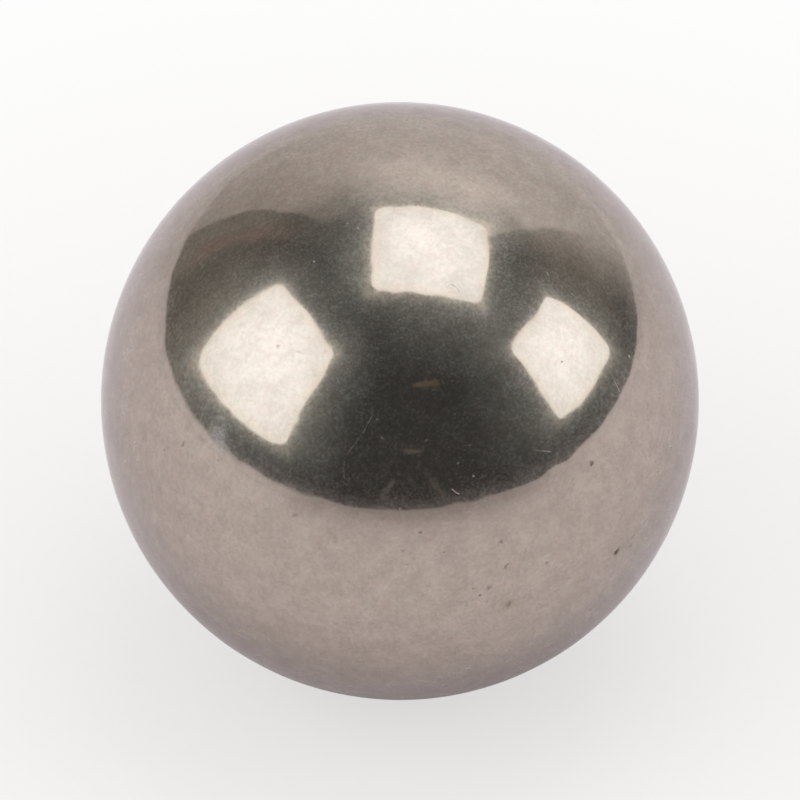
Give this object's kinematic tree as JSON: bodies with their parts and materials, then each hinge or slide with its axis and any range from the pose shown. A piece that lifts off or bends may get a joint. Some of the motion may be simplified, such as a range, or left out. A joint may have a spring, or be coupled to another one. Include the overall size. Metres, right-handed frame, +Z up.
{
  "type": "steel ball",
  "caption": "Solid polished steel ball, a true sphere with a bright, lightly specked and scratched surface.",
  "frame": {"origin": "centre of the ball", "axes": "+Z up, from the seat the ball rests in through its centre; +X to the right and -Y towards the front"},
  "size_m": [0.0254, 0.0254, 0.0254],
  "materials": {
    "steel": "polished"
  },
  "bodies": {
    "root": {"ball": "steel"}
  },
  "joints": []
}
